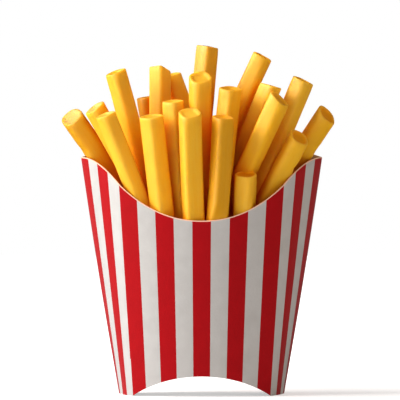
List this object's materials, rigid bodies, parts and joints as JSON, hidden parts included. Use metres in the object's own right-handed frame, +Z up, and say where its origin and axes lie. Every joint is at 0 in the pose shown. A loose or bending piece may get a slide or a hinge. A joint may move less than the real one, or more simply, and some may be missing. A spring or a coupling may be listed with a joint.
{
  "type": "french fries in a carton",
  "caption": "Straight-cut french fries fanned out in a scoop-fronted paperboard carton with stripes and an arched base.",
  "frame": {"origin": "centre of the bounding box in plan, on the surface that the carton stands on", "axes": "+Z up, -Y out of the carton's scooped front, +X to the right as seen from the front"},
  "size_m": [0.125, 0.056, 0.1602],
  "materials": {
    "printed_board": "satin print in red and white stripes, bare board inside",
    "fried_potato": "soft satin, golden yellow with darker edges"
  },
  "bodies": {
    "root": {"carton": "printed_board", "fries": "fried_potato"}
  },
  "joints": []
}
